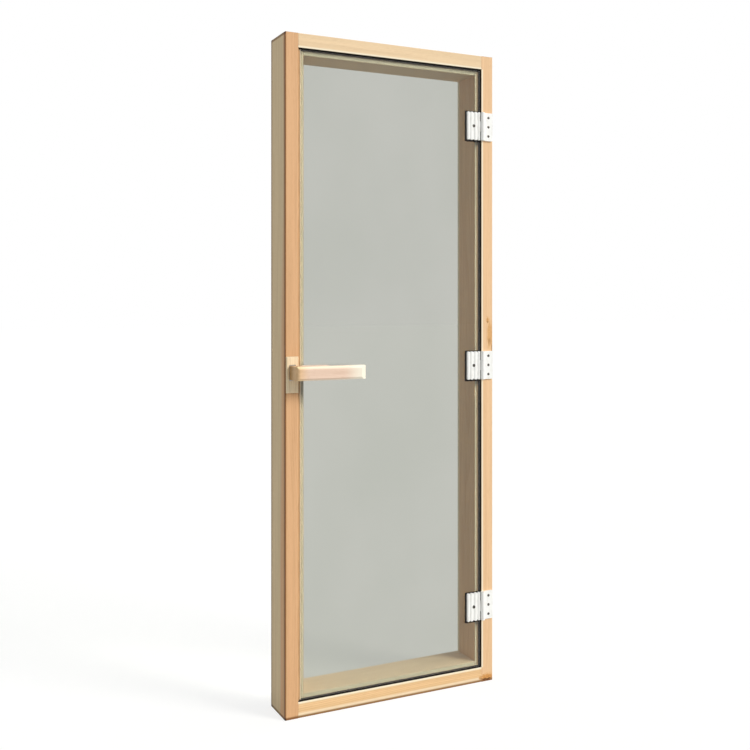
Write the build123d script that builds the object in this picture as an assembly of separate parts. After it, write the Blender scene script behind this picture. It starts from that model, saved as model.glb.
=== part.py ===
from build123d import *
import os

# Sauna door: a frameless glass leaf on three hinges in a solid timber frame.
# Millimetres. X runs across the door, Y from the front to the back, Z up.
# The origin is in the middle of the frame's underside.

# Timber frame
frame_width = 706.0
frame_height = 1990.0
frame_depth = 118.0
side_lip = 41.0  # front face of a jamb
head_lip = 42.0
sill_lip = 46.0
stop_step = 20.0  # how far the stop stands in from the lip
arris = 1.5  # eased edges of the planed timber
tenon_length = 24.0
tenon_thickness = 30.0
tenon_shoulder = 10.0  # left above and below a tenon
glue_gap = 0.2

# Glass
glass_thickness = 8.0
glass_bevel = 1.0
glass_corner = 3.0
edge_gap = 5.0  # round the glass, to the lip
glass_hole = 12.0

# Seal, an angle in a saw kerf of the stop: its foot lies on the stop, its lining on the lip
seal_room = 4.0  # from the back of the glass to the stop
seal_width = 6.5
seal_lining = 1.0
lining_inset = 2.0  # from the front of the frame
seal_round = 0.8
kerf_width = 3.0
kerf_depth = 7.0
kerf_inset = 1.8  # from the lip
stem_gap = 0.2
shut_gap = 0.3  # between the shut leaf and what it closes on

# Hinges
hinge_height = 89.0
hinge_from_top = 225.0  # from the top of the frame to the middle of the top hinge
hinge_from_floor = 244.0
middle_hinge_rise = 3.0  # above halfway between the other two
barrel_radius = 7.0
barrel_clear = 0.5  # from the barrel to the faces behind it
pin_radius = 3.0
pin_running = 0.05
pin_sunk = 1.0
middle_knuckle = 32.0
knuckle_gap = 0.4  # between knuckles
knuckle_clear = 0.6  # from a barrel to the leaf that passes it
gasket = 1.0
gasket_margin = 2.5  # how far the outer gasket shows round the glass leaf
glass_leaf_base = 3.4  # at the bottom of the flutes
inner_flute = 14.4  # width of each of the two flutes beside the screw
outer_flute = 9.8  # width of the flutes along the edges
flute_rise = 2.6
scallop_rise = 3.5
frame_leaf_inset = 2.0  # from the outer edge of the jamb
frame_leaf_thickness = 4.5
frame_leaf_corner = 4.0
frame_screw_radius = 2.4
frame_screw_head = 4.4  # radius of the countersink
frame_screw_pitch = 29.3
back_plate_height = 76.0
back_plate_thickness = 4.5
back_plate_clear = 5.0  # from the plate to the stop
back_plate_corner = 3.0
clamp_radius = 2.5
clamp_head_radius = 4.6
clamp_head_height = 2.8
clamp_socket = 2.5
clamp_seat_gap = 0.6  # round the head in its seat
fit_gap = 0.1

# Keeper on the lock jamb
keeper_inset = 2.0  # from both edges of the jamb's front face
keeper_height = 106.0
keeper_thickness = 7.0
keeper_drop = 6.0  # from the middle of the handle to the keeper's
keeper_bevel = 1.5
strike_width = 20.0
strike_height = 46.0
strike_thickness = 2.0
strike_screw_pitch = 32.0
strike_screw_radius = 1.8

# Outer handle
handle_start = 11.5  # from the outer edge of the frame
handle_length = 218.5
handle_root = 114.5  # length of the part that stands on the glass and the keeper
handle_height = 40.0
handle_middle = 1004.0
handle_reach = 65.0  # from the front of the frame
arm_thickness = 24.0
handle_corner = 12.0
handle_top_bevel = 8.0
handle_bottom_bevel = 6.0
bevel_share = 0.6  # depth of those bevels over their height
end_bevel_length = 15.0
end_bevel_depth = 8.0
foot_inset = 6.0  # from the edge of the glass to the foot
magnet_radius = 6.0
magnet_length = 6.0

# Inner handle
inner_clear = 14.0  # from the stop to the root
inner_height = 32.0
inner_drop = 10.0  # from the middle of the outer handle to the inner one's
inner_reach = 60.0
inner_arm_thickness = 22.0

# Handle bolts
bolt_pitch = 24.0
bolt_drop = 5.0  # from the middle of the outer handle
bolt_radius = 4.0
bolt_head_radius = 6.5
bolt_head_height = 8.0
bolt_head_sunk = 2.0
bolt_socket = 3.0
bolt_in_root = 36.0
bolt_hole_gap = 0.4

# Places that follow from these sizes
side = frame_width / 2
front = -frame_depth / 2
back = frame_depth / 2
glass_back = front + glass_thickness
stop_front = glass_back + seal_room
seal_top = glass_back + shut_gap
glass_side = side - side_lip - edge_gap
glass_low = sill_lip + edge_gap
glass_high = frame_height - head_lip - edge_gap
pin_x = side - side_lip
pin_y = front - barrel_clear - barrel_radius
leaf_edge = pin_x - barrel_radius - knuckle_clear
flute_widths = [outer_flute, inner_flute, inner_flute, outer_flute]
leaf_start = leaf_edge - sum(flute_widths)
flutes = [(leaf_start + sum(flute_widths[:i]), width) for i, width in enumerate(flute_widths)]
clamp_x = (leaf_start + leaf_edge) / 2
shoulder = side - side_lip - stop_step
back_plate_end = shoulder - back_plate_clear
hinge_levels = {
    "bottom": hinge_from_floor,
    "middle": (hinge_from_floor + frame_height - hinge_from_top) / 2 + middle_hinge_rise,
    "top": frame_height - hinge_from_top,
}
handle_left = -side + handle_start
handle_right = handle_left + handle_length
root_end = handle_left + handle_root
inner_left = -shoulder + inner_clear
bolt_middle = (inner_left + root_end) / 2
bolt_places = [bolt_middle - bolt_pitch / 2, bolt_middle + bolt_pitch / 2]
bolt_level = handle_middle - bolt_drop


def block(x0, x1, y0, y1, z0, z1):
    """A box between two corners."""
    corner = (Align.MIN, Align.MIN, Align.MIN)
    return Pos(x0, y0, z0) * Box(x1 - x0, y1 - y0, z1 - z0, align=corner)


def rod_y(x, z, y0, y1, radius):
    """A round bar or bore along Y."""
    return Pos(x, (y0 + y1) / 2, z) * Rot(90, 0, 0) * Cylinder(radius, y1 - y0)


def rod_z(x, y, z0, z1, radius):
    """A round bar or bore along Z."""
    return Pos(x, y, (z0 + z1) / 2) * Cylinder(radius, z1 - z0)


def eased(face, corners, radius):
    """The face with these corners rounded."""
    near = [
        v for v in face.vertices() if any((v.center() - Vector(*c)).length < 0.01 for c in corners)
    ]
    return fillet(near, radius)


# Timber frame
def member_section(lip, place):
    """A member in section. place puts (distance from the outer edge, y) in space."""
    inner = lip + stop_step
    kerf = [lip + kerf_inset, lip + kerf_inset + kerf_width]
    bottom = stop_front + kerf_depth
    outline = [
        (0, front),
        (lip, front),
        (lip, stop_front),
        (kerf[0], stop_front),
        (kerf[0], bottom),
        (kerf[1], bottom),
        (kerf[1], stop_front),
        (inner, stop_front),
        (inner, back),
        (0, back),
    ]
    face = make_face(Polyline(*[place(*p) for p in outline], close=True))
    soft = [(0, front), (lip, front), (inner, stop_front), (inner, back), (0, back)]
    return eased(face, [place(*p) for p in soft], arris)


def tenon(lip, level, end, gap=0.0):
    """A stub tenon that stands out of the shoulder at x = end; with a gap it is the mortise."""
    high = lip + stop_step - 2 * tenon_shoulder
    middle = (stop_front + back) / 2
    return block(
        end,
        end + tenon_length + gap,
        middle - tenon_thickness / 2 - gap,
        middle + tenon_thickness / 2 + gap,
        level - high / 2 - gap,
        level + high / 2 + gap,
    )


sill_level = (sill_lip + stop_step) / 2
head_level = frame_height - (head_lip + stop_step) / 2


def jamb_right():
    section = member_section(side_lip, lambda a, y: (side - a, y, 0))
    jamb = extrude(section, frame_height, dir=(0, 0, 1))
    jamb -= tenon(sill_lip, sill_level, shoulder, glue_gap)
    jamb -= tenon(head_lip, head_level, shoulder, glue_gap)
    return jamb


def cross_member(lip, level, place):
    """The head or the sill: its lip runs to the jambs' lips and its back to their stops."""
    reach = side - side_lip
    section = member_section(lip, lambda a, y: (-reach, y, place(a)))
    member = extrude(section, 2 * reach, dir=(1, 0, 0))
    low, high = sorted([place(0), place(lip + stop_step)])
    right = tenon(lip, level, shoulder)
    for end in (right, mirror(right, Plane.YZ)):
        member += end
    waste = block(shoulder, reach, stop_front, back, low, high) - right
    for end in (waste, mirror(waste, Plane.YZ)):
        member -= end
    return member


# Seal
def strip_section(lip, width, y0, y1, place):
    """A strip along the lip. place puts (distance from the outer edge, y) in space."""
    outline = [(lip, y1), (lip, y0), (lip + width, y0), (lip + width, y1)]
    face = make_face(Polyline(*[place(*p) for p in outline], close=True))
    return eased(face, [place(*outline[2])], seal_round)


def foot_section(lip, place):
    return strip_section(lip, seal_width, seal_top, stop_front, place)


def lining_section(lip, place):
    return strip_section(lip, seal_lining, front + lining_inset, seal_top, place)


def stem_section(lip, place):
    """The stem that holds the seal in its kerf."""
    near = lip + kerf_inset + stem_gap
    far = lip + kerf_inset + kerf_width - stem_gap
    deep = stop_front + kerf_depth - stem_gap
    outline = [(near, stop_front), (far, stop_front), (far, deep), (near, deep)]
    return make_face(Polyline(*[place(*p) for p in outline], close=True))


def seal_upright():
    """The seal of the right jamb."""
    length = frame_height - head_lip - sill_lip

    def run(section):
        return extrude(
            section(side_lip, lambda a, y: (side - a, y, sill_lip)), length, dir=(0, 0, 1)
        )

    return run(foot_section) + run(lining_section) + run(stem_section)


def seal_across(lip, place):
    """The seal of the head or the sill, between the uprights."""

    def run(section, reach):
        return extrude(section(lip, lambda a, y: (-reach, y, place(a))), 2 * reach, dir=(1, 0, 0))

    foot = run(foot_section, side - side_lip - seal_width)
    lining = run(lining_section, side - side_lip - seal_lining)
    return foot + lining + run(stem_section, shoulder)


# Glass
def glass_pane():
    high = glass_high - glass_low
    pane = extrude(
        Plane.XZ.offset(-front)
        * Pos(0, (glass_low + glass_high) / 2)
        * RectangleRounded(2 * glass_side, high, glass_corner),
        -glass_thickness,
    )
    rims = pane.faces().filter_by(Axis.Y)
    pane = chamfer([e for f in rims for e in f.edges()], glass_bevel)
    for level in hinge_levels.values():
        pane -= rod_y(clamp_x, level, front, glass_back, glass_hole / 2)
    for x in bolt_places:
        pane -= rod_y(x, bolt_level, front, glass_back, glass_hole / 2)
    return pane


# Hinges
def fluted_outline():
    """The glass leaf seen along the pin: flat on the gasket, with convex flutes in front."""
    rear = front - gasket
    groove = rear - glass_leaf_base
    lines = Polyline((leaf_edge, groove), (leaf_edge, rear), (leaf_start, rear), (leaf_start, groove))
    for x, width in flutes:
        crest = (x + width / 2, groove - flute_rise)
        lines += ThreePointArc((x, groove), crest, (x + width, groove))
    return make_face(lines)


def scalloped_outline():
    """The glass leaf seen from the front, level 0 at its middle: each flute ends in an arc."""
    notch = hinge_height / 2 - scallop_rise
    lines = Line((leaf_start, 0, -notch), (leaf_start, 0, notch))
    lines += Line((leaf_edge, 0, -notch), (leaf_edge, 0, notch))
    for way in (-1, 1):
        for x, width in flutes:
            lines += ThreePointArc(
                (x, 0, way * notch),
                (x + width / 2, 0, way * hinge_height / 2),
                (x + width, 0, way * notch),
            )
    return make_face(lines)


def knuckle(low, high):
    return rod_z(pin_x, pin_y, low, high, barrel_radius)


def hinge_glass_leaf():
    half = middle_knuckle / 2
    rear = front - gasket
    leaf = extrude(fluted_outline(), hinge_height / 2, both=True)
    leaf &= extrude(scalloped_outline(), frame_depth, both=True)
    leaf += knuckle(-half, half)
    leaf += block(leaf_edge - knuckle_clear, pin_x, pin_y, rear, -half, half)
    leaf -= rod_z(pin_x, pin_y, -half, half, pin_radius + pin_running)
    groove = rear - glass_leaf_base
    leaf -= rod_y(clamp_x, 0, groove - flute_rise, groove, clamp_head_radius + clamp_seat_gap)
    return leaf - rod_y(clamp_x, 0, groove, rear, clamp_radius + fit_gap)


def hinge_frame_leaf():
    half = hinge_height / 2
    low = middle_knuckle / 2 + knuckle_gap
    start = pin_x + barrel_radius + knuckle_clear
    end = side - frame_leaf_inset
    face = front - frame_leaf_thickness
    leaf = block(start, end, face, front, -half, half)
    outer = leaf.edges().filter_by(Axis.Y).group_by(Axis.X)[-1]
    leaf = fillet(outer, frame_leaf_corner)
    for way in (-1, 1):
        near, far = sorted([way * low, way * half])
        leaf += knuckle(near, far)
        leaf += block(pin_x, start + knuckle_clear, pin_y, front, near, far)
        leaf -= rod_z(pin_x, pin_y, near, far, pin_radius + fit_gap / 2)
    for level in (-frame_screw_pitch, 0, frame_screw_pitch):
        hole = Cone(frame_screw_radius, frame_screw_head, frame_leaf_thickness)
        leaf -= Pos((start + end) / 2, (face + front) / 2, level) * Rot(90, 0, 0) * hole
    return leaf


def hinge_pin():
    half = hinge_height / 2 - pin_sunk
    return rod_z(pin_x, pin_y, -half, half, pin_radius)


def hinge_back_plate():
    """The clamp plate behind the glass, cut short beside the jamb's stop."""
    near = glass_back + gasket
    high = back_plate_height / 2
    plate = block(leaf_start, back_plate_end, near, near + back_plate_thickness, -high, high)
    plate = fillet(plate.edges().filter_by(Axis.Y), back_plate_corner)
    return plate - rod_y(clamp_x, 0, near, near + back_plate_thickness, clamp_radius + fit_gap)


def hinge_gaskets():
    """The rubber on both sides of the glass."""
    high = hinge_height / 2 + gasket_margin
    outside = block(leaf_start - gasket_margin, leaf_edge, front - gasket, front, -high, high)
    high = back_plate_height / 2
    inside = block(leaf_start, back_plate_end, glass_back, glass_back + gasket, -high, high)
    bore = rod_y(clamp_x, 0, front - gasket, glass_back + gasket, clamp_radius + fit_gap)
    return (outside - bore) + (inside - bore)


def hexagon_socket(x, z, y0, y1, radius):
    """A hexagonal recess along Y."""
    cut = Plane.XZ * Pos(x, z) * RegularPolygon(radius, 6)
    return Pos(0, y0, 0) * extrude(cut, -(y1 - y0))


def hinge_clamp_screw():
    seat = front - gasket - glass_leaf_base
    end = glass_back + gasket + back_plate_thickness
    head = rod_y(clamp_x, 0, seat - clamp_head_height, seat, clamp_head_radius)
    head -= hexagon_socket(clamp_x, 0, seat - clamp_head_height, seat - fit_gap, clamp_socket)
    return head + rod_y(clamp_x, 0, seat, end, clamp_radius)


# Keeper and catch
strike_x = -side + side_lip / 2
keeper_front = front - keeper_thickness


def keeper_plate():
    left = -side + keeper_inset
    right = -side + side_lip - keeper_inset
    middle = handle_middle - keeper_drop
    low = middle - keeper_height / 2
    high = middle + keeper_height / 2
    plate = block(left, right, keeper_front, front, low, high)
    plate = chamfer(plate.faces().sort_by(Axis.Y)[0].edges(), keeper_bevel)
    return plate - block(*strike_limits(fit_gap))


def strike_limits(gap=0.0):
    return (
        strike_x - strike_width / 2 - gap,
        strike_x + strike_width / 2 + gap,
        keeper_front,
        keeper_front + strike_thickness,
        handle_middle - strike_height / 2 - gap,
        handle_middle + strike_height / 2 + gap,
    )


def strike_plate():
    plate = block(*strike_limits())
    for way in (-1, 1):
        level = handle_middle + way * strike_screw_pitch / 2
        plate -= rod_y(
            strike_x, level, keeper_front, keeper_front + strike_thickness, strike_screw_radius
        )
    return plate


# Handles
def handle_outer():
    left, right, root = handle_left, handle_right, root_end
    foot = -glass_side + foot_inset
    face = front - handle_reach
    rear = front - gasket
    rebate = keeper_front - shut_gap
    outline = [
        (left, face),
        (right - end_bevel_length, face),
        (right, face + end_bevel_depth),
        (right, face + arm_thickness),
        (root, face + arm_thickness),
        (root, rear),
        (foot, rear),
        (foot, rebate),
        (left, rebate),
    ]
    low = handle_middle - handle_height / 2
    plan = make_face(Polyline(*[(x, y, low) for x, y in outline], close=True))
    plan = eased(plan, [(left, face, low)], handle_corner)
    handle = extrude(plan, handle_height, dir=(0, 0, 1))
    handle &= bevelled_bar(left, right, face, rear, low, low + handle_height)
    for x in bolt_places:
        hole = rod_y(x, bolt_level, rear - bolt_in_root, rear, bolt_radius + fit_gap)
        handle -= hole
    pocket = rod_y(strike_x, handle_middle, rebate - magnet_length, rebate, magnet_radius + fit_gap)
    return handle - pocket


def bevelled_bar(x0, x1, face, rear, low, high):
    """The bar that a handle is cut from: its face has a bevel along the top and the bottom."""
    top = (face + bevel_share * handle_top_bevel, high)
    bottom = (face + bevel_share * handle_bottom_bevel, low)
    outline = [
        (rear, low),
        bottom,
        (face, low + handle_bottom_bevel),
        (face, high - handle_top_bevel),
        top,
        (rear, high),
    ]
    section = make_face(Polyline(*[(x0, y, z) for y, z in outline], close=True))
    return extrude(section, x1 - x0, dir=(1, 0, 0))


def handle_inner():
    left, right, root = inner_left, handle_right, root_end
    near = glass_back + gasket
    far = near + inner_reach
    arm = far - inner_arm_thickness
    outline = [
        (left, near),
        (root, near),
        (root, arm),
        (right, arm),
        (right, far - end_bevel_depth),
        (right - end_bevel_length, far),
        (left, far),
    ]
    low = handle_middle - inner_drop - inner_height / 2
    plan = make_face(Polyline(*[(x, y, low) for x, y in outline], close=True))
    plan = eased(plan, [(left, far, low)], handle_corner)
    handle = extrude(plan, inner_height, dir=(0, 0, 1))
    bar = bevelled_bar(left, right, -far, -near, low, low + inner_height)
    handle &= mirror(bar, Plane.XZ)
    head = far - bolt_head_sunk - bolt_head_height
    for x in bolt_places:
        handle -= rod_y(x, bolt_level, near, head, bolt_radius + fit_gap)
        handle -= rod_y(x, bolt_level, head, far, bolt_head_radius + bolt_hole_gap)
    return handle


def handle_pads():
    """The rubber between the handles and the glass."""
    foot = -glass_side + foot_inset
    low = handle_middle - handle_height / 2
    outside = block(foot, root_end, front - gasket, front, low, low + handle_height)
    low = handle_middle - inner_drop - inner_height / 2
    inside = block(inner_left, root_end, glass_back, glass_back + gasket, low, low + inner_height)
    for x in bolt_places:
        bore = rod_y(x, bolt_level, front - gasket, glass_back + gasket, bolt_radius + fit_gap)
        outside -= bore
        inside -= bore
    return outside + inside


def handle_bolts():
    far = glass_back + gasket + inner_reach - bolt_head_sunk
    seat = far - bolt_head_height
    tip = front - gasket - bolt_in_root + bolt_hole_gap
    bolts = []
    for x in bolt_places:
        bolt = rod_y(x, bolt_level, seat, far, bolt_head_radius)
        bolt += rod_y(x, bolt_level, tip, seat, bolt_radius)
        bolts.append(bolt - hexagon_socket(x, bolt_level, far - bolt_head_height / 2, far, bolt_socket))
    return bolts[0] + bolts[1]


def handle_magnet():
    rebate = keeper_front - shut_gap
    return rod_y(strike_x, handle_middle, rebate - magnet_length, rebate, magnet_radius)


def build_nodes():
    def from_top(a):
        return frame_height - a

    def from_floor(a):
        return a

    right_jamb = jamb_right()
    right_seal = seal_upright()
    nodes = {
        "jamb_right": right_jamb,
        "jamb_left": mirror(right_jamb, Plane.YZ),
        "head": cross_member(head_lip, head_level, from_top),
        "sill": cross_member(sill_lip, sill_level, from_floor),
        "seal_right": right_seal,
        "seal_left": mirror(right_seal, Plane.YZ),
        "seal_head": seal_across(head_lip, from_top),
        "seal_sill": seal_across(sill_lip, from_floor),
        "glass_pane": glass_pane(),
        "keeper_plate": keeper_plate(),
        "strike_plate": strike_plate(),
        "handle_outer": handle_outer(),
        "handle_inner": handle_inner(),
        "handle_pads": handle_pads(),
        "handle_bolts": handle_bolts(),
        "handle_magnet": handle_magnet(),
    }
    hinge = {
        "hinge_glass_leaf": hinge_glass_leaf(),
        "hinge_frame_leaf": hinge_frame_leaf(),
        "hinge_pin": hinge_pin(),
        "hinge_back_plate": hinge_back_plate(),
        "hinge_gaskets": hinge_gaskets(),
        "hinge_clamp_screw": hinge_clamp_screw(),
    }
    for place, level in hinge_levels.items():
        for name, piece in hinge.items():
            nodes[f"{name}_{place}"] = Pos(0, 0, level) * piece
    return nodes


os.makedirs("parts", exist_ok=True)
for name, piece in build_nodes().items():
    export_step(piece, f"parts/{name}.step")
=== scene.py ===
import math
import bmesh
import bpy
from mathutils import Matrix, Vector


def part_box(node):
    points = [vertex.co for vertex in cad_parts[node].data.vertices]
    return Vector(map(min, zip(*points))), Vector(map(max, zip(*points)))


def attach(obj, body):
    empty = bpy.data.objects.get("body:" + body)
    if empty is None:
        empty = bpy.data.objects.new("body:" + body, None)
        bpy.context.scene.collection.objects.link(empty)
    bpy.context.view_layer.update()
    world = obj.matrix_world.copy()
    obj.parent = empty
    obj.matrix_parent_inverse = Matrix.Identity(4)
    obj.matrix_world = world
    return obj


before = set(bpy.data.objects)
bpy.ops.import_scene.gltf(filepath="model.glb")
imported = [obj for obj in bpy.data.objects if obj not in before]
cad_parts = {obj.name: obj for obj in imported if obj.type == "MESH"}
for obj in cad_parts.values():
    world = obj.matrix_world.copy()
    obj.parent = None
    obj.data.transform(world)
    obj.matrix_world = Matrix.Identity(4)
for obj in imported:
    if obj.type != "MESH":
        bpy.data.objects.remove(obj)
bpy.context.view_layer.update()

bpy.ops.object.select_all(action="DESELECT")

# Camera. It stands left of the door and looks level at it, a little lower than
# the middle of the frame, with the lens shifted so that the uprights stay upright.
camera_place = (-1.36193, -2.72361, 1.2139)
camera_turn = math.radians(25.96)
bpy.ops.object.camera_add(location=camera_place, rotation=(math.pi / 2, 0, -camera_turn))
camera = bpy.context.object
camera.data.sensor_width = 36
camera.data.lens = 47.21
camera.data.shift_y = -0.0998
bpy.context.scene.camera = camera
bpy.context.scene.view_settings.view_transform = "Standard"


# Studio. A white floor and a plain white surround, with one lamp high on the right in
# front, so that the left side of the frame lies in shade and the lips shade the seal.
def tone(red, green, blue):
    """A paint colour, 0 to 255 a channel, as the shaders' linear light."""
    return (*(((c / 255 + 0.055) / 1.055) ** 2.4 for c in (red, green, blue)), 1.0)


class Finish:
    """One material, built up from what it looks like on the piece."""

    def __init__(self, name):
        self.material = bpy.data.materials.new(name)
        self.material.use_nodes = True
        self.tree = self.material.node_tree
        self.shader = self.tree.nodes["Principled BSDF"]
        self.output = self.tree.nodes["Material Output"]
        self.place = self.tree.nodes.new("ShaderNodeTexCoord").outputs["Object"]

    def feed(self, socket, value):
        if isinstance(value, bpy.types.NodeSocket):
            self.tree.links.new(value, socket)
        else:
            socket.default_value = value

    def set(self, **values):
        """Sockets of the shader, by name with _ for a space."""
        for name, value in values.items():
            self.feed(self.shader.inputs[name.replace("_", " ")], value)

    def maths(self, operation, *values):
        node = self.tree.nodes.new("ShaderNodeMath")
        node.operation = operation
        for socket, value in zip(node.inputs, values):
            self.feed(socket, value)
        return node.outputs[0]

    def vector(self, operation, *values):
        node = self.tree.nodes.new("ShaderNodeVectorMath")
        node.operation = operation
        for socket, value in zip(node.inputs, values):
            self.feed(socket, value)
        return node.outputs["Value" if operation in ("LENGTH", "DISTANCE") else "Vector"]

    def part(self, vector, axis):
        node = self.tree.nodes.new("ShaderNodeSeparateXYZ")
        self.feed(node.inputs[0], vector)
        return node.outputs[axis]

    def mapped(self, place, turn=(0, 0, 0), through=(0, 0, 0), cell=(1, 1, 1)):
        """The place turned about a point, with each axis measured in cells of that size."""
        node = self.tree.nodes.new("ShaderNodeMapping")
        node.vector_type = "TEXTURE"
        self.feed(node.inputs["Vector"], place)
        node.inputs["Location"].default_value = through
        node.inputs["Rotation"].default_value = turn
        node.inputs["Scale"].default_value = cell
        return node.outputs[0]

    def noise(self, place, cell=(1, 1, 1), detail=2.0, colour=False):
        node = self.tree.nodes.new("ShaderNodeTexNoise")
        self.feed(node.inputs["Vector"], self.mapped(place, cell=cell))
        node.inputs["Scale"].default_value = 1.0
        node.inputs["Detail"].default_value = detail
        return node.outputs["Color" if colour else "Fac"]

    def fade(self, value, low, high, start=0.0, end=1.0):
        node = self.tree.nodes.new("ShaderNodeMapRange")
        node.interpolation_type = "SMOOTHSTEP"
        for socket, number in zip(node.inputs, (value, low, high, start, end)):
            self.feed(socket, number)
        return node.outputs[0]

    def blend(self, share, first, second, how="MIX"):
        node = self.tree.nodes.new("ShaderNodeMix")
        node.data_type = "RGBA"
        node.blend_type = how
        node.clamp_result = True
        self.feed(node.inputs["Factor"], share)
        self.feed(node.inputs[6], first)
        self.feed(node.inputs[7], second)
        return node.outputs[2]

    def relief(self, height, depth, strength=1.0):
        """Small bumps: height from 0 to 1, over this many metres."""
        node = self.tree.nodes.new("ShaderNodeBump")
        node.inputs["Strength"].default_value = strength
        node.inputs["Distance"].default_value = depth
        self.feed(node.inputs["Height"], height)
        return node.outputs[0]

    def dress(self, *names):
        """Puts the finish on these CAD nodes."""
        for name in names:
            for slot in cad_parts[name].material_slots:
                slot.material = self.material


def seen_share(tree):
    """1 for what the camera sees, straight, mirrored or through glass, and 0 for light."""
    rays = tree.nodes.new("ShaderNodeLightPath")
    share = rays.outputs["Is Camera Ray"]
    for name in ("Is Glossy Ray", "Is Transmission Ray"):
        node = tree.nodes.new("ShaderNodeMath")
        node.operation = "MAXIMUM"
        tree.links.new(share, node.inputs[0])
        tree.links.new(rays.outputs[name], node.inputs[1])
        share = node.outputs[0]
    return share


surround = bpy.data.worlds.new("white_surround")
surround.use_nodes = True
bpy.context.scene.world = surround
tree = surround.node_tree
soft_light = tree.nodes["Background"]
soft_light.inputs["Color"].default_value = (0.94, 0.99, 1.0, 1.0)
soft_light.inputs["Strength"].default_value = 0.46
white = tree.nodes.new("ShaderNodeBackground")
white.inputs["Color"].default_value = (1.0, 1.0, 1.0, 1.0)
join = tree.nodes.new("ShaderNodeMixShader")
tree.links.new(seen_share(tree), join.inputs["Fac"])
tree.links.new(soft_light.outputs[0], join.inputs[1])
tree.links.new(white.outputs[0], join.inputs[2])
tree.links.new(join.outputs[0], tree.nodes["World Output"].inputs["Surface"])

floor_size = 80
floor_drop = 0.0004
bpy.ops.mesh.primitive_plane_add(size=floor_size, location=(0, 0, -floor_drop))
floor = bpy.context.object
floor.name = "floor"
pale = Finish("pale_floor")
pale.set(Roughness=0.9, Specular_IOR_Level=0.0)
mottle = pale.noise(pale.place, (0.4, 0.4, 0.4))
pale.set(Base_Color=pale.blend(mottle, tone(196, 196, 194), tone(202, 202, 200)))
glow = pale.tree.nodes.new("ShaderNodeEmission")
glow.inputs["Color"].default_value = (1.0, 1.0, 1.0, 1.0)
glow.inputs["Strength"].default_value = 1.40
join = pale.tree.nodes.new("ShaderNodeMixShader")
glow_share = pale.maths("MULTIPLY", seen_share(pale.tree), 0.56)
pale.feed(join.inputs["Fac"], glow_share)
pale.tree.links.new(pale.shader.outputs[0], join.inputs[1])
pale.tree.links.new(glow.outputs[0], join.inputs[2])
pale.tree.links.new(join.outputs[0], pale.output.inputs["Surface"])
floor.data.materials.append(pale.material)

lamp_direction = Vector((0.534, -0.629, 0.566))
bpy.ops.object.light_add(type="SUN", location=3 * lamp_direction)
lamp = bpy.context.object
lamp.rotation_euler = lamp_direction.to_track_quat("Z", "Y").to_euler()
lamp.data.energy = 2.56
lamp.data.angle = math.radians(20)
lamp.data.color = (1.0, 0.97, 0.93)


# Timber frame. Planed softwood, four members scribed and pegged with stub tenons:
# two jambs that run from floor to top, a head and a sill between them.
upright = 0.0
lying = math.radians(-90)
ring = 0.0034  # one year's growth
heart_blur = 0.008  # half the width over which the heart turns to sapwood
arris_reach = 0.004  # how far an arris shows on the faces beside it
end_reach = 0.0006  # how deep the dull end grain shows
ring_push = 0.006  # how far a knot pushes the rings outwards
streak_stain = (0.66, 0.60, 0.52, 1)
late_stain = (0.74, 0.58, 0.42, 1)
fibre_stain = (0.82, 0.74, 0.64, 1)
fleck_stain = (0.62, 0.46, 0.32, 1)
end_stain = (0.58, 0.46, 0.31, 1)
# Darker lines by the arrises: mostly painted shade, and painted contact shadow at the foot
dark_and_shade_stain = (0.32, 0.22, 0.11, 1)
# Painted highlight, for arrises and stop faces where the light catches them
painted_highlight = tone(255, 244, 218)
resin = tone(226, 174, 110)
knot_pale = tone(224, 164, 94)
knot_dark = tone(178, 112, 52)
knot_bark = tone(112, 70, 28)


def near_line(wood, line, share):
    """The share by the line that runs along the axis given as None, fading to nothing at the
    arris's reach. That is three times as wide in depth, and twice as wide in height."""
    weights = [0.0 if c is None else w for c, w in zip(line, (1.0, 0.35, 0.5))]
    through = [0.0 if c is None else c * w for c, w in zip(line, weights)]
    away = wood.vector("DISTANCE", wood.vector("MULTIPLY", wood.place, weights), through)
    return wood.fade(away, arris_reach, 0.25 * arris_reach, 0.0, share)


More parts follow.
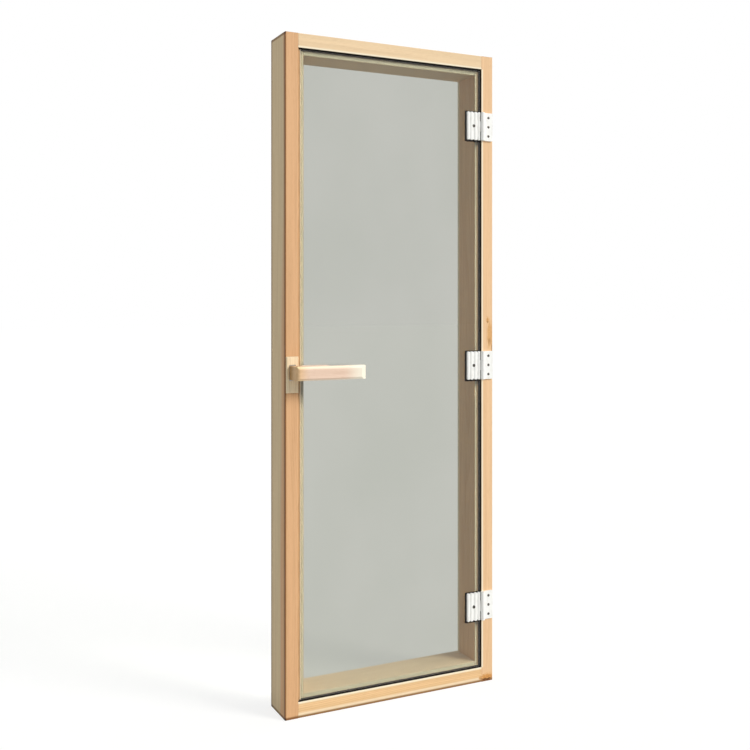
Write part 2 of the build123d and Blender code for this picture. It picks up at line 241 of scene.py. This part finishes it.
def timber(
    name, lie, pith, tilt, heart_reach, heart, sap, end_faces=(), knots=(), dark_and_shade_lines=(), highlights=(),
    free=None,
):
    """Softwood as a solid: rings about the pith, with fibres along it. lie turns the grain
    from upright to lying, pith is a point on the tree's middle, and the two tones are those
    of the wood near the pith and further out. A knot is its place, half width, half height
    and strength. dark_and_shade_lines are darker lines by the arrises, mostly painted shade
    and painted contact shadow, and highlights are painted highlights by the arrises and on
    the stop faces, where light catches them. A highlight ends with its share, and shows only
    between the two heights in free, if they are given."""
    wood = Finish(name)
    log = wood.mapped(wood.place, turn=(tilt, lie, 0), through=pith)
    sway = wood.vector("SUBTRACT", wood.noise(log, (0.09, 0.09, 0.7), 1.0, True), (0.5, 0.5, 0.5))
    sway = wood.vector("MULTIPLY", sway, (0.03, 0.03, 0.0))
    across = wood.vector("MULTIPLY", wood.vector("ADD", log, sway), (1, 1, 0))
    radius = wood.vector("LENGTH", across)
    knot_core = 0.0
    knot_glow = 0.0
    knot_rim = 0.0
    for x, y, z, size, length, strength in knots:
        reach = wood.mapped(wood.place, through=(x, y, z), cell=(size, 4 * size, length))
        ragged = wood.noise(wood.place, (0.5 * size, 0.02, 0.5 * length), 2.0, True)
        ragged = wood.vector("SUBTRACT", ragged, (0.5, 0.5, 0.5))
        reach = wood.vector("ADD", reach, wood.vector("MULTIPLY", ragged, (1.0, 0, 1.0)))
        away = wood.vector("LENGTH", reach)
        core = wood.maths("MULTIPLY", wood.fade(away, 1.2, 0.7), strength)
        glow = wood.fade(away, 1.8, 0.6)
        rim = wood.maths("MULTIPLY", wood.fade(wood.part(reach, "Z"), -0.20, -0.55), core)
        knot_core = wood.maths("MAXIMUM", core, knot_core)
        knot_glow = wood.maths("MAXIMUM", glow, knot_glow)
        knot_rim = wood.maths("MAXIMUM", rim, knot_rim)
        radius = wood.maths("ADD", radius, wood.maths("MULTIPLY", glow, ring_push))
    years = wood.maths("FRACT", wood.maths("DIVIDE", radius, ring))
    late = wood.maths("MULTIPLY", wood.fade(years, 0.35, 0.88), wood.fade(years, 1.0, 0.93))
    fibre = wood.noise(log, (0.0007, 0.0007, 0.05), 3.0)
    flecks = wood.fade(wood.noise(log, (0.0011, 0.0011, 0.022), 1.0), 0.60, 0.72)
    streaks = wood.noise(log, (0.011, 0.011, 0.5), 2.0)
    colour = wood.blend(wood.fade(radius, heart_reach - heart_blur, heart_reach + heart_blur), heart, sap)
    for share, stain in (
        (wood.fade(streaks, 0.35, 0.65, 0.0, 0.22), streak_stain),
        (wood.maths("MULTIPLY", late, 0.34), late_stain),
        (wood.fade(fibre, 0.35, 0.75, 0.0, 0.30), fibre_stain),
        (wood.maths("MULTIPLY", flecks, 0.22), fleck_stain),
    ):
        colour = wood.blend(share, colour, stain, "MULTIPLY")
    for *line, share in highlights:
        near = near_line(wood, line, share)
        if free:
            height = wood.part(wood.place, "Z")
            near = wood.maths("MULTIPLY", near, wood.maths("GREATER_THAN", height, free[0]))
            near = wood.maths("MULTIPLY", near, wood.maths("LESS_THAN", height, free[1]))
        colour = wood.blend(near, colour, painted_highlight)
    if knots:
        colour = wood.blend(wood.maths("MULTIPLY", knot_glow, 0.75), colour, resin)
        whorl = wood.fade(wood.noise(wood.place, (0.0035, 0.01, 0.004), 2.0), 0.40, 0.70)
        colour = wood.blend(knot_core, colour, wood.blend(whorl, knot_pale, knot_dark))
        colour = wood.blend(wood.maths("MULTIPLY", knot_rim, 0.95), colour, knot_bark)
    for axis, low, high in end_faces:
        along = wood.part(wood.place, axis)
        near = wood.fade(along, low + end_reach, low + end_reach / 2)
        far = wood.fade(along, high - end_reach, high - end_reach / 2)
        share = wood.maths("MULTIPLY", wood.maths("MAXIMUM", near, far), 0.8)
        colour = wood.blend(share, colour, end_stain, "MULTIPLY")
    for line in dark_and_shade_lines:
        colour = wood.blend(near_line(wood, line, 0.95), colour, dark_and_shade_stain, "MULTIPLY")
    wood.set(Base_Color=colour, Specular_IOR_Level=0.35)
    wood.set(Roughness=wood.fade(wood.maths("ADD", late, fibre), 0.3, 1.5, 0.66, 0.50))
    grain = wood.maths("ADD", wood.maths("MULTIPLY", fibre, 0.7), wood.maths("MULTIPLY", late, 0.5))
    grain = wood.maths("SUBTRACT", grain, wood.maths("MULTIPLY", flecks, 0.4))
    wood.set(Normal=wood.relief(grain, 0.00012, 0.8))
    return wood


left, face, floor_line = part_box("jamb_left")[0]
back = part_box("jamb_right")[1].y
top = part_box("jamb_right")[1].z
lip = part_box("seal_right")[1].x
head_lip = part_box("seal_head")[1].z
sill_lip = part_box("seal_sill")[0].z
stop_step = 0.020  # how far the stop that the glass shuts against stands in past the lip
stop = lip - stop_step
seal_room = 0.004  # between the shut glass and the stop
stop_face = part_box("glass_pane")[1].y + seal_room
# Where painted highlights run on the stop's face, seen through the glass
stop_strip = stop + 0.004
outer_strip = stop_strip + 0.006
head_strip = head_lip - stop_step + 0.006
sill_strip = sill_lip + stop_step - 0.007
inset = 0.002  # how far inside its arris a darker line, mostly painted shade, runs
whole = 1.0
strong = 0.9
half = 0.5
jamb_ends = [("Z", floor_line, top)]
# A painted contact shadow along the foot of the front face
foot = (None, face, floor_line + inset)
timber(
    "left_jamb_timber", upright, (-0.298, -0.078, 0.9), 0.010, 0.070,
    tone(232, 185, 139), tone(238, 214, 174), jamb_ends,
    # a darker line by the side face's front arris; painted shade by its back, top and bottom arrises; the
    # painted contact shadow at the foot
    dark_and_shade_lines=[
        (left + inset / 2, face + 0.003, None), (left, back - inset, None),
        (left, None, top - inset), (left, None, floor_line + inset), foot,
    ],
    # painted highlights on the stop's face
    highlights=[(-stop_strip, stop_face, None, whole), (-outer_strip, stop_face, None, whole)],
).dress("jamb_left")
timber(
    "right_jamb_timber", upright, (0.42, 0.02, 0.3), 0.008, 0.050,
    tone(239, 193, 146), tone(247, 208, 164), jamb_ends,
    knots=[
        (0.332, face, 0.0125, 0.021, 0.010, whole),
        (0.335, face, 1.150, 0.004, 0.009, 0.6),
        (0.342, face, 1.105, 0.007, 0.036, 0.35),
        (0.352, face, 1.090, 0.003, 0.050, 0.6),
    ],
    # the painted contact shadow at the foot; painted highlights by the lip's arris, on the stop's face
    # and by the inner face's back arris
    dark_and_shade_lines=[foot],
    highlights=[
        (lip + 0.003, face, None, strong), (stop_strip, stop_face, None, whole),
        (stop, back - 0.004, None, strong),
    ],
    free=(sill_lip, head_lip),
).dress("jamb_right")
timber(
    "head_timber", lying, (0.1, -0.09, 2.05), 0.006, 0.040,
    tone(240, 206, 166), tone(246, 219, 180),
    # painted highlights along the lip's edge and on the stop's face
    highlights=[(None, face, head_lip, strong), (None, stop_face, head_strip, whole)],
).dress("head")
timber(
    "sill_timber", lying, (-0.1, -0.11, -0.02), 0.009, 0.090,
    tone(246, 207, 156), tone(255, 234, 206),
    knots=[(0.309, face, 0.013, 0.006, 0.005, half)],
    # the painted contact shadow at the foot; painted highlights along the lip's edge, low on the front
    # and on the stop's face
    dark_and_shade_lines=[foot],
    highlights=[
        (None, face, sill_lip, strong), (None, face, floor_line + 0.010, half),
        (None, stop_face, sill_strip, whole),
    ],
).dress("sill")


# Seal. A soft rubber strip, pressed into a saw kerf all round the rebate, where the
# shut glass lies against it. It is black, but buff on the lock jamb.
def rubber_finish(name, fresh, dusty):
    rubber = Finish(name)
    bloom = rubber.noise(rubber.place, (0.02, 0.02, 0.05), 3.0)
    rubber.set(Base_Color=rubber.blend(rubber.fade(bloom, 0.4, 0.7), fresh, dusty))
    rubber.set(Roughness=rubber.fade(bloom, 0.3, 0.7, 0.55, 0.75), Specular_IOR_Level=0.3)
    grain = rubber.noise(rubber.place, (0.0006, 0.0006, 0.0006), 1.0)
    rubber.set(Normal=rubber.relief(grain, 0.00004, 0.6))
    return rubber


rubber = rubber_finish("black_rubber", tone(18, 8, 4), tone(28, 17, 11))
rubber.dress("seal_right", "seal_head", "seal_sill")
buff_rubber = rubber_finish("buff_rubber", tone(208, 175, 134), tone(194, 159, 118))
buff_rubber.dress("seal_left")


# Keeper plate. A bevelled board of the handle's own pale timber, glued to the lock
# jamb, with a steel strike let into it for the magnet and held by two small screws.
timber(
    "keeper_timber", upright, (-0.36, -0.11, 1.0), 0.02, 0.030,
    tone(255, 228, 186), tone(255, 236, 202), [("Z", *(c.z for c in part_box("keeper_plate")))],
).dress("keeper_plate")

steel = Finish("brushed_steel")
brush = steel.noise(steel.place, (0.0003, 0.0003, 0.006), 2.0)
steel.set(Base_Color=steel.blend(brush, tone(150, 148, 144), tone(184, 182, 178)), Metallic=1.0)
steel.set(Roughness=steel.fade(brush, 0.3, 0.7, 0.26, 0.42))
steel.set(Normal=steel.relief(brush, 0.00002, 0.5))
steel.dress("strike_plate")

dark_steel = Finish("dark_steel")
wear = dark_steel.noise(dark_steel.place, (0.002, 0.002, 0.002), 3.0)
rubbed = dark_steel.blend(dark_steel.fade(wear, 0.45, 0.7), tone(84, 80, 76), tone(120, 116, 110))
dark_steel.set(Base_Color=rubbed, Metallic=0.85)
dark_steel.set(Roughness=dark_steel.fade(wear, 0.3, 0.7, 0.34, 0.55))
dark_steel.set(Normal=dark_steel.relief(wear, 0.00002, 0.5))


def pick_corners(piece, wanted):
    """Selects the corners of the piece in edit mode that lie where they are wanted."""
    mesh = bmesh.from_edit_mesh(piece.data)
    for corner in mesh.verts:
        corner.select = wanted(corner.co)
    mesh.select_flush_mode()
    bmesh.update_edit_mesh(piece.data)


def cross_head_screw(radius, low_radius, depth, recess):
    """A countersunk head that faces the front, with its face at y = 0 and a cross recess
    of that reach. Each of the recess's two blades narrows inwards."""
    bpy.ops.mesh.primitive_cone_add(
        vertices=32, radius1=low_radius, radius2=radius, depth=depth,
        location=(0, depth / 2, 0), rotation=(math.pi / 2, 0, 0),
    )
    head = bpy.context.object
    bpy.ops.object.transform_apply()
    rim = head.modifiers.new("rim", "BEVEL")
    rim.width = 0.06 * radius
    rim.segments = 2
    rim.limit_method = "ANGLE"
    bpy.ops.object.modifier_apply(modifier=rim.name)
    for turn in (0, math.pi / 2):
        bpy.ops.mesh.primitive_cube_add(size=1)
        blade = bpy.context.object
        blade.scale = (2 * recess, 1.2 * recess, 0.42 * recess)
        bpy.ops.object.transform_apply()
        bpy.ops.object.mode_set(mode="EDIT")
        pick_corners(blade, lambda corner: corner.y > 0)
        bpy.ops.transform.resize(value=(0.45, 1, 0.5))
        bpy.ops.object.mode_set(mode="OBJECT")
        blade.rotation_euler.y = turn
        cut = head.modifiers.new("recess", "BOOLEAN")
        cut.object = blade
        cut.solver = "EXACT"
        bpy.context.view_layer.objects.active = head
        bpy.ops.object.modifier_apply(modifier=cut.name)
        bpy.data.objects.remove(blade)
    bpy.ops.object.select_all(action="DESELECT")
    head.select_set(True)
    bpy.context.view_layer.objects.active = head
    bpy.ops.object.shade_smooth_by_angle(angle=math.radians(35))
    return head


def drive_screws(name, pattern, places):
    """Copies of the screw, each driven to its own turn, joined as one piece."""
    first_turn = 17
    turn_apart = 49
    copies = []
    for number, place in enumerate(places):
        screw = pattern.copy()
        screw.data = pattern.data.copy()
        bpy.context.collection.objects.link(screw)
        screw.location = place
        screw.rotation_euler.y = math.radians(first_turn + turn_apart * number)
        copies.append(screw)
    bpy.ops.object.select_all(action="DESELECT")
    for screw in copies:
        screw.select_set(True)
    bpy.context.view_layer.objects.active = copies[0]
    bpy.ops.object.join()
    bpy.ops.object.transform_apply()
    piece = bpy.context.object
    piece.name = name
    piece.data.name = name
    piece.data.materials.append(dark_steel.material)
    bpy.ops.object.select_all(action="DESELECT")
    return piece


strike_low, strike_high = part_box("strike_plate")
strike_middle = (strike_low + strike_high) / 2
strike_pitch = 0.032
screw_sunk = 0.0001  # how far a head lies below its plate's face
small_screw = cross_head_screw(radius=0.0017, low_radius=0.0016, depth=0.0018, recess=0.0011)
strike_screws = drive_screws(
    "strike_screws", small_screw,
    [
        (strike_middle.x, strike_low.y + screw_sunk, strike_middle.z + way * strike_pitch / 2)
        for way in (-1, 1)
    ],
)
bpy.data.objects.remove(small_screw)
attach(strike_screws, "frame")


# Hinges, jamb side. Die-cast leaves with a white powder coat, two knuckles each on a
# steel pin, held to the jamb by three countersunk wood screws.
hinge_places = ("top", "middle", "bottom")
enamel = Finish("white_enamel")
peel = enamel.noise(enamel.place, (0.0012, 0.0012, 0.0012), 2.0)
grime = enamel.noise(enamel.place, (0.008, 0.008, 0.02), 3.0)
whites = (tone(251, 251, 249), tone(241, 240, 236))
enamel.set(Base_Color=enamel.blend(enamel.fade(grime, 0.40, 0.75), *whites))
enamel.set(Roughness=enamel.fade(peel, 0.3, 0.7, 0.30, 0.42), Coat_Weight=0.15, Coat_Roughness=0.25)
enamel.set(Normal=enamel.relief(peel, 0.00005, 0.5))
for place in hinge_places:
    enamel.dress("hinge_frame_leaf_" + place)
    steel.dress("hinge_pin_" + place)

wood_screw_pitch = 0.0293
barrel_radius = 0.007
barrel_clear = 0.0006
plate_face = -0.0635  # front of the plate beside the barrel
wood_screw = cross_head_screw(radius=0.0043, low_radius=0.0024, depth=0.0043, recess=0.0024)
for place in hinge_places:
    leaf_low, leaf_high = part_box("hinge_frame_leaf_" + place)
    pin_low, pin_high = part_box("hinge_pin_" + place)
    pin_x = (pin_low.x + pin_high.x) / 2
    plate_start = pin_x + barrel_radius + barrel_clear
    level = (leaf_low.z + leaf_high.z) / 2
    screws = drive_screws(
        "wood_screws_" + place, wood_screw,
        [
            ((plate_start + leaf_high.x) / 2, plate_face + screw_sunk, level + step * wood_screw_pitch)
            for step in (-1, 0, 1)
        ],
    )
    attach(screws, "frame")
bpy.data.objects.remove(wood_screw)


# Glass. One pane of 8 mm toughened glass, polished on its faces and ground dull round its
# edge. Its grey-green tint is a painted reflection, for the grey the clear pane takes from
# its surroundings. The ground edge is painted dark as shade in the gap by the black strip,
# and pale on the lock side as a painted highlight.
glass_low, glass_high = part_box("glass_pane")
ground_width = 0.0012
glass = Finish("toughened_glass")
cloud = glass.noise(glass.place, (0.35, 1.0, 0.5), 2.0)
# A painted reflection: the grey-green tint stands for the grey the clear pane takes from its surroundings
reflection_tint = glass.blend(glass.fade(cloud, 0.3, 0.7), tone(185, 187, 179), tone(190, 191, 184))
glass.set(Base_Color=reflection_tint, Transmission_Weight=1.0, Roughness=0.0, IOR=1.5)
ground = glass.tree.nodes.new("ShaderNodeBsdfPrincipled")
scratch = glass.noise(glass.place, (0.0006, 0.0006, 0.0006), 2.0)
lock_side = glass.maths("LESS_THAN", glass.part(glass.place, "X"), glass_low.x + ground_width)
# The ground edge is painted dark, as shade in the gap by the black strip, and pale on the lock side, as a
# painted highlight
edge_shade_and_highlight = glass.blend(scratch, tone(32, 24, 18), tone(46, 37, 29))
edge_shade_and_highlight = glass.blend(lock_side, edge_shade_and_highlight, tone(252, 236, 210))
glass.feed(ground.inputs["Base Color"], edge_shade_and_highlight)
glass.feed(ground.inputs["Roughness"], 0.6)
glass.feed(ground.inputs["Normal"], glass.relief(scratch, 0.00003))
edge = 0.0
for axis, low, high in (("X", glass_low.x, glass_high.x), ("Z", glass_low.z, glass_high.z)):
    along = glass.part(glass.place, axis)
    for end in (low, high):
        inward = glass.maths("ABSOLUTE", glass.maths("SUBTRACT", along, end))
        edge = glass.maths("MAXIMUM", glass.maths("LESS_THAN", inward, ground_width), edge)
pane = glass.tree.nodes.new("ShaderNodeMixShader")
glass.feed(pane.inputs["Fac"], edge)
glass.tree.links.new(glass.shader.outputs[0], pane.inputs[1])
glass.tree.links.new(ground.outputs[0], pane.inputs[2])
lit_through = glass.tree.nodes.new("ShaderNodeBsdfTransparent")
lit_through.inputs["Color"].default_value = (0.90, 0.91, 0.88, 1.0)
rays = glass.tree.nodes.new("ShaderNodeLightPath")
join = glass.tree.nodes.new("ShaderNodeMixShader")
glass.feed(join.inputs["Fac"], rays.outputs["Is Shadow Ray"])
glass.tree.links.new(pane.outputs[0], join.inputs[1])
glass.tree.links.new(lit_through.outputs[0], join.inputs[2])
glass.tree.links.new(join.outputs[0], glass.output.inputs["Surface"])
glass.dress("glass_pane")


# Hinges, glass side. The fluted outer leaf and the plain back plate clamp the glass
# between rubber gaskets, pulled together by one socket screw. A thin black sheet stands out
# past each gasket at its free end and below, scalloped like the flutes' ends: a painted
# shadow, for the shadow that the leaf casts down and to the left.
for place in hinge_places:
    enamel.dress("hinge_glass_leaf_" + place, "hinge_back_plate_" + place)
    rubber.dress("hinge_gaskets_" + place)
    dark_steel.dress("hinge_clamp_screw_" + place)

skirt_thickness = 0.0008
skirt_lift = 0.00002  # clear of the glass
skirt_side = 0.0035  # past the gasket
skirt_below = 0.0020  # past the gasket, where two scallops meet
scallop_drop = 0.0014
flute_widths = (0.0098, 0.0144, 0.0144, 0.0098)  # from the free end to the barrel
arc_steps = 10
speck = 0.00002  # room for rounding where corners are picked


def pull_out(x=0.0, z=0.0):
    """Extrudes the selected edge by so much."""
    bpy.ops.mesh.extrude_region_move(TRANSFORM_OT_translate={"value": (x, 0, z)})


gasket_low, gasket_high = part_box("hinge_gaskets_top")
skirt_start = gasket_low.x - skirt_side
skirt_foot = gasket_low.z - skirt_below
bpy.ops.mesh.primitive_plane_add(
    size=1, rotation=(math.pi / 2, 0, 0),
    location=(skirt_start + skirt_side / 2, glass_low.y - skirt_lift, skirt_foot + skirt_below / 2),
)
first_skirt = bpy.context.object
first_skirt.scale = (skirt_side, skirt_below, 1)
bpy.ops.object.transform_apply()
flute_start = gasket_high.x - sum(flute_widths)
stations = [(flute_start, 0.0)]
for width in flute_widths:
    for step in range(1, arc_steps + 1):
        turn = math.pi * step / arc_steps
        across = width * (1 - math.cos(turn)) / 2
        stations.append((flute_start + across, scallop_drop * math.sin(turn)))
    flute_start += width
bpy.ops.object.mode_set(mode="EDIT")
end_x, end_drop = gasket_low.x, 0.0
for x, drop in stations:
    pick_corners(first_skirt, lambda corner: corner.x > end_x - speck)
    pull_out(x=x - end_x)
    pick_corners(first_skirt, lambda corner: corner.x > x - speck and corner.z < gasket_low.z - speck)
    bpy.ops.transform.translate(value=(0, 0, end_drop - drop))
    end_x, end_drop = x, drop
pick_corners(
    first_skirt,
    lambda corner: corner.x < gasket_low.x + speck and corner.z > gasket_low.z - speck,
)
pull_out(z=gasket_high.z - gasket_low.z)
bpy.ops.object.mode_set(mode="OBJECT")
sheet = first_skirt.modifiers.new("sheet", "SOLIDIFY")
sheet.thickness = skirt_thickness
sheet.offset = 1  # all of it in front of the modelled face
bpy.ops.object.modifier_apply(modifier=sheet.name)
# The sheet is a painted shadow, in the black rubber's finish
first_skirt.data.materials.clear()
first_skirt.data.materials.append(rubber.material)
for place in hinge_places:
    skirt = first_skirt.copy()
    skirt.data = first_skirt.data.copy()
    bpy.context.collection.objects.link(skirt)
    skirt.name = "shadow_skirt_" + place
    skirt.data.name = skirt.name
    skirt.location.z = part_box("hinge_gaskets_" + place)[0].z - gasket_low.z
    bpy.ops.object.select_all(action="DESELECT")
    skirt.select_set(True)
    bpy.context.view_layer.objects.active = skirt
    bpy.ops.object.transform_apply()
    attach(skirt, "leaf")
bpy.data.objects.remove(first_skirt)
bpy.ops.object.select_all(action="DESELECT")


# Handles. Two bars of pale close-grained timber, bevelled along their edges, that
# clamp the glass between rubber pads on two steel bolts. A magnet holds the door shut.
handle_low, handle_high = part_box("handle_outer")
lower_bevel = 0.003
end_bevel = 0.002
bar_tone = tone(247, 219, 200)
bar = timber(
    "outer_handle_timber", lying, (-0.36, -0.10, 0.925), 0.04, 0.060, bar_tone, bar_tone,
    # painted highlights along the top and lower bevels and the free end's bevel
    highlights=[
        (None, handle_low.y, handle_high.z, whole),
        (None, handle_low.y, handle_low.z - lower_bevel, 0.8),
        (handle_high.x - end_bevel, handle_low.y, None, whole),
    ],
)
colour = bar.shader.inputs["Base Color"].links[0].from_socket
# Paler towards the free end. Painted shade darkens the root end, where the bar turns back to the keeper,
# and more near the keeper.
along = bar.part(bar.place, "X")
free_end = bar.fade(along, -0.200, -0.135, 0.0, 0.8)
root_shade = bar.fade(along, -0.296, -0.341)
shade_by_keeper = bar.maths("MULTIPLY", root_shade, bar.fade(bar.part(bar.place, "Y"), -0.110, -0.072))
colour = bar.blend(free_end, colour, tone(255, 250, 232))
colour = bar.blend(root_shade, colour, (0.95, 0.84, 0.58, 1), "MULTIPLY")
colour = bar.blend(shade_by_keeper, colour, (0.62, 0.56, 0.44, 1), "MULTIPLY")
bar.set(Base_Color=colour)
bar.dress("handle_outer")
inner_low, inner_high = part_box("handle_inner")
timber(
    "inner_handle_timber", lying, (-0.5, 0.05, 0.93), 0.04, 0.050,
    tone(228, 200, 172), tone(244, 228, 204), [("X", inner_low.x, inner_high.x)],
).dress("handle_inner")
rubber.dress("handle_pads")
steel.dress("handle_bolts", "handle_magnet")
